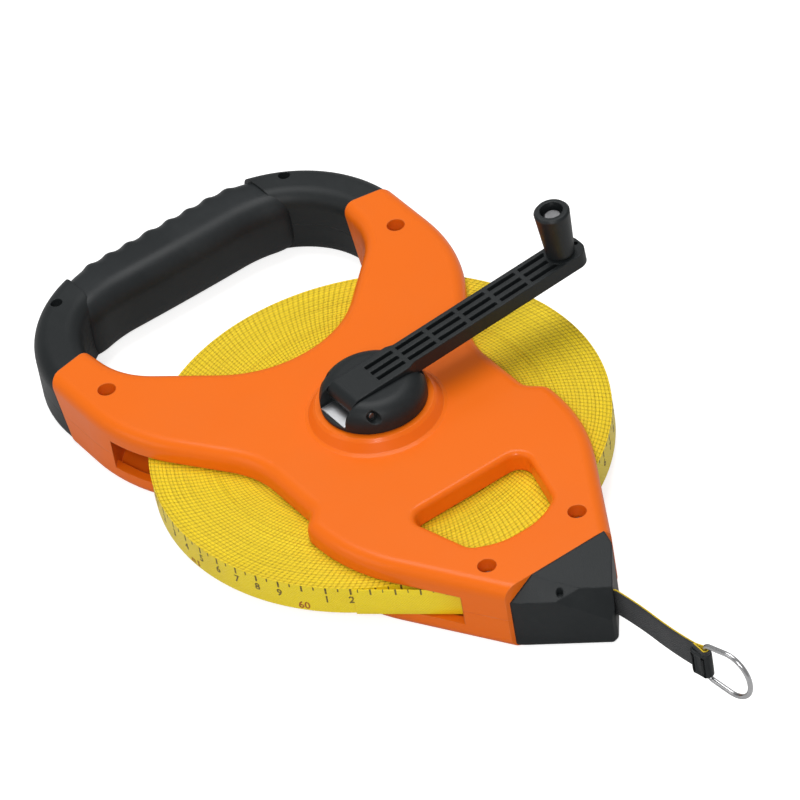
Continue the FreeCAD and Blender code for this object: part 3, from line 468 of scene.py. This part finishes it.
def strapMaterial(name, look):
    material, tree, shader = startMaterial(name)
    split = node(tree, "ShaderNodeSeparateXYZ")
    feed(tree, split.inputs[0], objectPlace(tree))
    along = calc(tree, "MULTIPLY", split.outputs[0], 1000.0)
    across = calc(tree, "MULTIPLY", split.outputs[2], 1000.0)
    weave = useGroup(tree, coatedWeave, Along=along, Across=across, Thread=look["thread"])
    marks = useGroup(tree, handlingMarks, Scale=90.0, Amount=look["marks"])
    colour = mixed(tree, weave["Gap"], look["colour"], look["gap"])
    colour = mixed(tree, marks["Mask"], colour, look["rubbed"])
    feed(tree, shader.inputs["Base Color"], colour)
    shader.inputs["Roughness"].default_value = look["roughness"]
    shader.inputs["Sheen Weight"].default_value = look["sheen"]
    softNormal(tree, shader, weave["Height"], 0.0001, 0.0001)
    return material


def makeInk(name, colour):
    material, tree, shader = startMaterial(name)
    thin = spread(tree, noise(tree, objectPlace(tree), 1300.0, 2.0), 0.3, 0.7, 0.0, 0.35)
    feed(tree, shader.inputs["Base Color"], mixed(tree, thin, colour, (0.80, 0.52, 0.02, 1)))
    shader.inputs["Roughness"].default_value = 0.5
    return material


tapeHeading = math.radians(46.1)
woundEdges = makeWoundEdges()
rimTape = makeRimTape()
runTape = makeRunTape(tapeHeading)
darkStrap = strapMaterial("darkStrap", {
    "colour": (0.022, 0.024, 0.026, 1), "gap": (0.010, 0.010, 0.012, 1), "rubbed": (0.045, 0.046, 0.050, 1),
    "thread": 0.55, "roughness": 0.68, "sheen": 0.1, "marks": 0.6})
yellowStrap = strapMaterial("yellowStrap", {
    "colour": (0.88, 0.62, 0.012, 1), "gap": (0.62, 0.42, 0.010, 1), "rubbed": (0.70, 0.47, 0.02, 1),
    "thread": 0.55, "roughness": 0.55, "sheen": 0.1, "marks": 0.5})
blackInk = makeInk("blackInk", (0.035, 0.028, 0.022, 1))
redInk = makeInk("redInk", (0.33, 0.045, 0.015, 1))
print("materials made")


# the parts that stay as designed only get their finish
finishes = {
    "orange_shell": orangeShell, "black_plastic": blackPlastic, "soft_grip": softGrip,
    "knob_plastic": knobPlastic, "bush_plastic": bushPlastic, "drum_plastic": drumPlastic,
    "axle_steel": turnedSteel, "screw_steel": screwSteel, "spring_steel": springSteel,
    "ring_wire": brightWire, "yellow_tape": runTape, "leader_strap": darkStrap}
for entry in frame["record"]["subparts"]:
    carried = nodes[entry["node"]]
    carried.data.materials.clear()
    carried.data.materials.append(finishes[entry["material_slot"]])
print("carried parts finished")


# the wound tape, with uneven turns on both flat sides
woundTape = {
    "radius": 94.0, "core": 29.6, "low": 9.5, "high": 22.5, "sides": 288, "layers": 44,
    "groove": 0.16, "slopeShare": 0.3, "topShare": 0.4, "uneven": 0.10, "seed": 11}


def buildWoundTape(sizes):
    clearSelection()
    middle = (sizes["low"] + sizes["high"]) / 2 * mm
    bpy.ops.mesh.primitive_cylinder_add(
        vertices=sizes["sides"], radius=sizes["radius"] * mm, depth=(sizes["high"] - sizes["low"]) * mm,
        location=(0, 0, middle))
    roll = started("woundTape")
    pitch = (sizes["radius"] - sizes["core"]) / sizes["layers"]
    for way in (1, -1):
        shake = random.Random(sizes["seed"])
        pick(roll, "FACE", lambda face: face.normal.z * way > 0.9)
        level = 0.0
        for layer in range(sizes["layers"]):
            # the groove's floor first, then the next group of turns beside it
            target = -sizes["groove"] if layer else 0.0
            bpy.ops.mesh.inset(thickness=pitch * sizes["slopeShare"] * mm, depth=(target - level) * mm)
            level = target
            target = shake.uniform(-sizes["uneven"], sizes["uneven"])
            bpy.ops.mesh.inset(thickness=pitch * sizes["slopeShare"] * mm, depth=(target - level) * mm)
            level = target
            bpy.ops.mesh.inset(thickness=pitch * sizes["topShare"] * mm, depth=0.0)
        bpy.ops.mesh.delete(type="FACE")
    bpy.ops.mesh.select_mode(type="EDGE")
    bpy.ops.mesh.select_all(action="DESELECT")
    bpy.ops.mesh.select_non_manifold()
    bpy.ops.mesh.bridge_edge_loops()
    objectMode()
    outward(roll)
    smooth(roll, 50)
    place(roll, "reel", [woundEdges, rimTape], ["tape_roll"])
    for face in roll.data.polygons:
        upright = abs(face.normal.z) < 0.3
        outermost = face.center.xy.length > sizes["radius"] * 0.99 * mm
        face.material_index = 1 if upright and outermost else 0
    return roll


buildWoundTape(woundTape)
print("wound tape built")


# what is printed on the outermost turn
numerals = {
    "rim": 94.03, "marks": 59, "small": 3.5, "large": 3.7, "thick": 0.02, "smallUp": 14.9, "largeUp": 10.3,
    "top": 22.3, "stroke": 3.0, "wide": 0.8, "bold": 0.09, "fontShare": 1.38,
    "halfStroke": 0.55, "halfWide": 0.7}


def standOnRim(sizes, piece, angle, up):
    outer = Vector((math.cos(angle), math.sin(angle), 0.0))
    side = Vector((-math.sin(angle), math.cos(angle), 0.0))
    turn = Matrix((side, Vector((0, 0, 1)), outer)).transposed().to_4x4()
    piece.matrix_world = Matrix.Translation(outer * sizes["rim"] * mm + Vector((0, 0, up * mm))) @ turn


def joinPrinted(printed, name, material):
    clearSelection()
    for entry in printed:
        entry.select_set(True)
    bpy.context.view_layer.objects.active = printed[0]
    bpy.ops.object.join()
    piece = started(name)
    outward(piece)
    return place(piece, "reel", material)


def buildNumerals(sizes, name, material, labels):
    printed = []
    for mark, text, height, up in labels:
        clearSelection()
        bpy.ops.object.text_add(location=(0, 0, 0))
        label = bpy.context.object
        label.data.body = text
        label.data.size = height * sizes["fontShare"] * mm
        label.data.extrude = sizes["thick"] * mm
        label.data.offset = sizes["bold"] * mm
        label.data.align_x = "CENTER"
        label.data.resolution_u = 2
        bpy.ops.object.convert(target="MESH")
        standOnRim(sizes, label, 2 * math.pi * mark / sizes["marks"], up)
        bpy.ops.object.transform_apply(location=True, rotation=True, scale=True)
        printed.append(bpy.context.object)
    return joinPrinted(printed, name, material)


def buildStrokes(sizes):
    # a stroke for every centimetre hangs from the upper edge, a short one for every half
    printed = []
    for half in range(2 * sizes["marks"]):
        length = sizes["stroke"] * (sizes["halfStroke"] if half % 2 else 1.0)
        wide = sizes["wide"] * (sizes["halfWide"] if half % 2 else 1.0)
        clearSelection()
        bpy.ops.mesh.primitive_cube_add(size=1.0, location=(0, 0, 0))
        stroke = bpy.context.object
        stroke.scale = (wide * mm, length * mm, 2 * sizes["thick"] * mm)
        bpy.ops.object.transform_apply(location=False, rotation=False, scale=True)
        standOnRim(sizes, stroke, math.pi * half / sizes["marks"], sizes["top"] - length / 2)
        bpy.ops.object.transform_apply(location=True, rotation=True, scale=True)
        printed.append(stroke)
    return joinPrinted(printed, "rimStrokes", blackInk)


smallLabels = []
largeLabels = []
for mark in range(numerals["marks"]):
    if mark % 10 == 0:
        largeLabels.append((mark, str(mark + 10), numerals["large"], numerals["largeUp"]))
        largeLabels.append((mark + 4.5, "m 5", numerals["large"] * 0.75, numerals["largeUp"]))
    else:
        smallLabels.append((mark, str(mark % 10), numerals["small"], numerals["smallUp"]))
buildStrokes(numerals)
buildNumerals(numerals, "rimNumerals", blackInk, smallLabels)
buildNumerals(numerals, "rimMetreMarks", redInk, largeLabels)
print("numerals printed")


# the free run of tape between roll and mouth
freeRun = {"start": 3.0, "end": 104.0, "thick": 0.46, "low": 9.5, "high": 22.5, "out": 94.55}


def alongTape(distance):
    x = freeRun["out"] * math.sin(tapeHeading) + distance * math.cos(tapeHeading)
    y = -freeRun["out"] * math.cos(tapeHeading) + distance * math.sin(tapeHeading)
    return Vector((x * mm, y * mm, 0.0))


def buildFreeRun(sizes):
    clearSelection()
    middle = alongTape((sizes["start"] + sizes["end"]) / 2)
    middle.z = (sizes["low"] + sizes["high"]) / 2 * mm
    bpy.ops.mesh.primitive_cube_add(size=1.0, location=middle, rotation=(0, 0, tapeHeading))
    run = started("freeRun")
    length, width = sizes["end"] - sizes["start"], sizes["high"] - sizes["low"]
    run.scale = (length * mm, sizes["thick"] * mm, width * mm)
    applyAll(run)
    bpy.ops.object.mode_set(mode="EDIT")
    bpy.ops.mesh.select_all(action="SELECT")
    bpy.ops.mesh.bevel(offset=0.0001, segments=2, affect="EDGES")
    bpy.ops.mesh.subdivide(number_cuts=3)
    objectMode()
    smooth(run)
    return place(run, "frame", runTape, ["tape_run"])


buildFreeRun(freeRun)
print("free run of tape built")


# the soft sleeve on the handle
gripSleeve = {
    "x": -155.25, "outer": 11.1, "inner": 17.0, "high": 15.3, "round": 10.5, "half": 53.0, "middle": 16.0,
    "rings": 76, "ribs": 8, "ribPitch": 10.0, "ribShift": 1.5, "ribRise": 0.95, "ribReach": 3.8,
    "ribSide": 4.0, "ribHalf": 0.9, "endFrom": 0.80, "endPalm": 0.42, "endOuter": 0.25, "endHigh": 0.12,
    "palmSwell": 0.10}


def buildGripSleeve(sizes):
    clearSelection()
    width = (sizes["outer"] + sizes["inner"]) * mm
    centreX = (sizes["x"] + (sizes["inner"] - sizes["outer"]) / 2) * mm
    bpy.ops.mesh.primitive_cube_add(size=1.0, location=(centreX, 0, sizes["middle"] * mm))
    sleeve = started("gripSleeve")
    sleeve.scale = (width, 2 * sizes["half"] * mm, 2 * sizes["high"] * mm)
    applyAll(sleeve)
    # round the four long edges into an oval section
    pick(sleeve, "EDGE", lambda edge: abs(
        sleeve.data.vertices[edge.vertices[0]].co.y - sleeve.data.vertices[edge.vertices[1]].co.y) > 0.05)
    bpy.ops.mesh.bevel(offset=sizes["round"] * mm, segments=10, affect="EDGES")
    objectMode()
    # cut it into rings along its length
    for index in range(1, sizes["rings"]):
        y = (-1 + 2 * index / sizes["rings"]) * sizes["half"] * mm
        bpy.ops.object.mode_set(mode="EDIT")
        bpy.ops.mesh.select_all(action="SELECT")
        bpy.ops.mesh.bisect(plane_co=(0, y, 0), plane_no=(0, 1, 0))
        objectMode()
    # bulge the palm side and draw both ends in to the handle
    for point in sleeve.data.vertices:
        along = abs(point.co.y) / (sizes["half"] * mm)
        swell = max(0.0, math.cos(min(1.0, along) * math.pi / 2)) ** 0.6
        endShare = max(0.0, (along - sizes["endFrom"]) / (1 - sizes["endFrom"]))
        drawn = 1 - math.sqrt(max(0.0, 1 - endShare * endShare))
        localX = point.co.x - sizes["x"] * mm
        turnedIn = bendShift(abs(point.co.y) / mm) * mm
        if localX > 0:
            localX *= 1 - drawn * sizes["endPalm"] - (1 - swell) * sizes["palmSwell"]
        else:
            localX *= 1 - drawn * sizes["endOuter"]
        point.co.x = sizes["x"] * mm + localX + turnedIn
        up = point.co.z - sizes["middle"] * mm
        point.co.z = sizes["middle"] * mm + up * (1 - drawn * sizes["endHigh"])
    # press the finger ribs out of the outer side, soft at their edges
    for index in range(sizes["ribs"]):
        y = ((index - (sizes["ribs"] - 1) / 2) * sizes["ribPitch"] + sizes["ribShift"]) * mm
        side, half = (sizes["x"] - sizes["ribSide"]) * mm, sizes["ribHalf"] * mm
        pick(sleeve, "VERT", lambda point: point.co.x < side and abs(point.co.y - y) < half)
        bpy.ops.transform.shrink_fatten(
            value=sizes["ribRise"] * mm, use_proportional_edit=True, proportional_edit_falloff="SMOOTH",
            proportional_size=sizes["ribReach"] * mm)
        objectMode()
    only(sleeve)
    sleeve.modifiers.new("fine", "SUBSURF").levels = 1
    sleeve.modifiers["fine"].render_levels = 1
    applyAll(sleeve)
    outward(sleeve)
    smooth(sleeve, 60)
    return place(sleeve, "frame", softGrip, ["grip_sleeve"])


handleBend = {"centreY": 27.75, "radius": 48.25}


def bendShift(y):
    # how far the handle's middle line has turned in at this height along the grip
    if y <= handleBend["centreY"]:
        return 0.0
    rise = min(y - handleBend["centreY"], handleBend["radius"])
    return handleBend["radius"] - math.sqrt(handleBend["radius"] ** 2 - rise ** 2)


buildGripSleeve(gripSleeve)
print("grip sleeve built")


# the leader strap: dark outside, yellow inside
leader = {
    "start": 105.0, "width": 12.6, "middle": 16.0, "dark": 0.45, "yellow": 0.38, "lift": 0.35,
    "arcs": ((4.0, -38.0, 6), (200.0, -6.0, 12), (180.0, 8.0, 14))}


spinWay = -1  # with no window, spin turns the other way


def spinArcs(heading, point, arcs):
    # carries the selected upright edge along each arc in turn
    for radius, angle, steps in arcs:
        way = 1 if angle > 0 else -1
        side = Vector((-math.sin(heading), math.cos(heading), 0))
        centre = point + side * (way * radius * mm)
        bpy.ops.mesh.spin(steps=steps, angle=math.radians(angle) * spinWay, center=centre, axis=(0, 0, 1))
        heading += math.radians(angle)
        side = Vector((-math.sin(heading), math.cos(heading), 0))
        point = centre - side * (way * radius * mm)
    return point, heading


def buildStrapLayer(name, material, shift, thick, lift, replaced=()):
    clearSelection()
    start = alongTape(leader["start"])
    side = Vector((-math.sin(tapeHeading), math.cos(tapeHeading), 0))
    base = start + side * (shift * mm)
    bpy.ops.mesh.primitive_plane_add(
        size=leader["width"] * mm, location=(0, 0, 0), rotation=(math.pi / 2, 0, 0))
    strap = started(name)
    applyAll(strap)
    pick(strap, "VERT", lambda point: point.co.x > 0)
    bpy.ops.mesh.delete(type="VERT")
    objectMode()
    strap.location = base + Vector((leader["width"] / 2 * mm, 0, (leader["middle"] + lift) * mm))
    applyAll(strap)
    pick(strap, "EDGE", lambda edge: True)
    bpy.ops.mesh.subdivide(number_cuts=7)
    arcs = [
        (radius + (shift if angle < 0 else -shift), angle, steps) for radius, angle, steps in leader["arcs"]]
    end, heading = spinArcs(tapeHeading, base, arcs)
    objectMode()
    outward(strap)
    solid = strap.modifiers.new("thick", "SOLIDIFY")
    solid.thickness = thick * mm
    solid.offset = 0.0
    soft = strap.modifiers.new("soft", "BEVEL")
    soft.width = 0.0001
    soft.segments = 2
    applyAll(strap)
    outward(strap)
    smooth(strap, 40)
    return place(strap, "leader", material, replaced), end, heading


strap, strapEnd, strapHeading = buildStrapLayer(
    "leaderStrap", darkStrap, -leader["dark"] / 2, leader["dark"] * 0.96, 0.0, ["tape_leader"])
buildStrapLayer("leaderBacking", yellowStrap, leader["yellow"] / 2, leader["yellow"], leader["lift"])
print("leader strap ends at", [round(v / mm, 2) for v in strapEnd], round(math.degrees(strapHeading), 1))

crimp = {
    "back": 4.1, "front": 5.0, "half": 2.5, "low": 9.3, "high": 20.3, "round": 2.2,
    "lips": ((0.35, 0.35), (0.5, 0.12), (0.3, -0.5)), "dentIn": 1.1, "dentSlope": 0.5, "dentDeep": 0.3,
    "edge": 0.22}
fold = {"bar": 2.8, "loop": 2.0, "tail": 5.0, "narrow": 0.45, "height": 12.9, "middle": 16.0, "wall": 0.38}


def atStrapEnd(piece):
    piece.matrix_world = Matrix.Translation(strapEnd) @ Matrix.Rotation(strapHeading, 4, "Z")
    applyAll(piece)


def buildCrimp(sizes):
    clearSelection()
    length = (sizes["back"] + sizes["front"]) * mm
    centreX, centreZ = (sizes["front"] - sizes["back"]) / 2, (sizes["low"] + sizes["high"]) / 2
    bpy.ops.mesh.primitive_cube_add(size=1.0, location=(centreX * mm, 0, centreZ * mm))
    piece = started("endCrimp")
    piece.scale = (length, 2 * sizes["half"] * mm, (sizes["high"] - sizes["low"]) * mm)
    applyAll(piece)
    pick(piece, "EDGE", lambda edge: abs(
        piece.data.vertices[edge.vertices[0]].co.z - piece.data.vertices[edge.vertices[1]].co.z) > 0.004)
    bpy.ops.mesh.bevel(offset=sizes["round"] * mm, segments=6, affect="EDGES")
    objectMode()
    # the mouth of the crimp rolls in at both ends
    for way in (1, -1):
        pick(piece, "FACE", lambda face: face.normal.z * way > 0.9 and len(face.vertices) > 6)
        for inwards, rise in sizes["lips"]:
            bpy.ops.mesh.inset(thickness=inwards * mm, depth=rise * mm)
        objectMode()
    # a pressed dent across each cheek
    pick(piece, "FACE", lambda face: abs(face.normal.y) > 0.99)
    bpy.ops.mesh.inset(thickness=sizes["dentIn"] * mm, depth=0.0, use_individual=True)
    bpy.ops.mesh.inset(
        thickness=sizes["dentSlope"] * mm, depth=-sizes["dentDeep"] * mm, use_individual=True)
    objectMode()
    only(piece)
    rounder = piece.modifiers.new("rounder", "BEVEL")
    rounder.width = sizes["edge"] * mm
    rounder.segments = 3
    rounder.limit_method = "ANGLE"
    applyAll(piece)
    atStrapEnd(piece)
    outward(piece)
    smooth(piece, 45)
    return place(piece, "leader", blackPlastic, ["end_clasp", "clasp_rivet"])


def buildFold(sizes, name, material, inward, lift):
    # the strap's end laid round the wire and back on itself, one layer at a time
    clearSelection()
    bar, loop = sizes["bar"], sizes["loop"] - inward
    bpy.ops.mesh.primitive_cylinder_add(
        vertices=32, radius=loop * mm, depth=sizes["height"] * mm, end_fill_type="NOTHING",
        location=(bar * mm, 0, (sizes["middle"] + lift) * mm))
    piece = started(name)
    applyAll(piece)
    # draw the side towards the strap out into a long tail
    for point in piece.data.vertices:
        behind = bar * mm - point.co.x
        if behind > 0:
            share = behind / (loop * mm)
            point.co.x -= share * share * (sizes["tail"] - inward) * mm
            point.co.y *= 1 - sizes["narrow"] * share
    only(piece)
    wall = piece.modifiers.new("wall", "SOLIDIFY")
    wall.thickness = sizes["wall"] * mm
    wall.offset = -1.0
    applyAll(piece)
    atStrapEnd(piece)
    outward(piece)
    smooth(piece, 50)
    return place(piece, "leader", material)


buildCrimp(crimp)
buildFold(fold, "leaderFold", darkStrap, 0.0, 0.0)
buildFold(fold, "foldLining", yellowStrap, fold["wall"] * 1.05, 0.35)
print("crimp and fold built")


# floor, light and camera
studio = {
    "floorSize": 6.0, "azimuth": 61.04237, "elevation": 40.98289, "roll": -10.30864,
    "distance": 2212.703, "aim": (-0.2492, 11.5726, 29.2004), "lens": 247.897, "sensor": 36.0,
    "skyLight": 0.34, "floorGlow": 0.75, "floorGrey": 0.62,
    "lamps": (  # name, direction, distance, width and power
        ("overhead", (-0.25, 0.15, 1.0), 1.6, 1.1, 13.5),
        ("front", (1.0, -0.75, 1.15), 1.9, 0.5, 12.0),
        ("side", (-0.3, -1.2, 0.7), 1.8, 0.9, 2.5))}
clearSelection()
bpy.ops.mesh.primitive_plane_add(size=studio["floorSize"], location=(0, 0, -0.0005))
floor = started("floor")
floorMaterial, floorTree, floorShader = startMaterial("paleFloor")
floorShader.inputs["Base Color"].default_value = (studio["floorGrey"],) * 3 + (1,)
floorShader.inputs["Roughness"].default_value = 0.9
floorSeen = node(floorTree, "ShaderNodeLightPath").outputs["Is Camera Ray"]
floorGlow = mixed(floorTree, floorSeen, (0, 0, 0, 1), (1, 1, 1, 1))
feed(floorTree, floorShader.inputs["Emission Color"], floorGlow)
floorShader.inputs["Emission Strength"].default_value = studio["floorGlow"]
floor.data.materials.append(floorMaterial)

world = bpy.data.worlds.new("paleRoom")
bpy.context.scene.world = world
world.use_nodes = True
sky = world.node_tree.nodes["Background"]
sky.inputs["Color"].default_value = (1.0, 1.0, 1.0, 1)
skySeen = node(world.node_tree, "ShaderNodeLightPath").outputs["Is Camera Ray"]
skyStrength = spread(world.node_tree, skySeen, 0.0, 1.0, studio["skyLight"], 1.0)
feed(world.node_tree, sky.inputs["Strength"], skyStrength)


def softLight(name, towards, distance, size, power):
    clearSelection()
    spot = Vector(towards).normalized() * distance
    bpy.ops.object.light_add(type="AREA", location=spot)
    lamp = bpy.context.object
    lamp.name = name
    lamp.data.shape = "DISK"
    lamp.data.size = size
    lamp.data.energy = power
    lamp.rotation_mode = "QUATERNION"
    lamp.rotation_quaternion = (-spot).to_track_quat("-Z", "Y")


for lampEntry in studio["lamps"]:
    softLight(*lampEntry)

azimuth, elevation = math.radians(studio["azimuth"]), math.radians(studio["elevation"])
back = Vector((
    math.sin(azimuth) * math.cos(elevation), -math.cos(azimuth) * math.cos(elevation), math.sin(elevation)))
bpy.ops.object.camera_add(location=Vector(studio["aim"]) * mm + back * studio["distance"] * mm)
camera = bpy.context.object
camera.rotation_mode = "QUATERNION"
cameraRoll = Quaternion((0, 0, 1), math.radians(studio["roll"]))
camera.rotation_quaternion = (-back).to_track_quat("-Z", "Y") @ cameraRoll
camera.data.lens = studio["lens"]
camera.data.sensor_width = studio["sensor"]
camera.data.clip_start = 0.05
camera.data.clip_end = 20.0
bpy.context.scene.camera = camera
bpy.context.scene.view_settings.view_transform = "Standard"
print("studio ready")
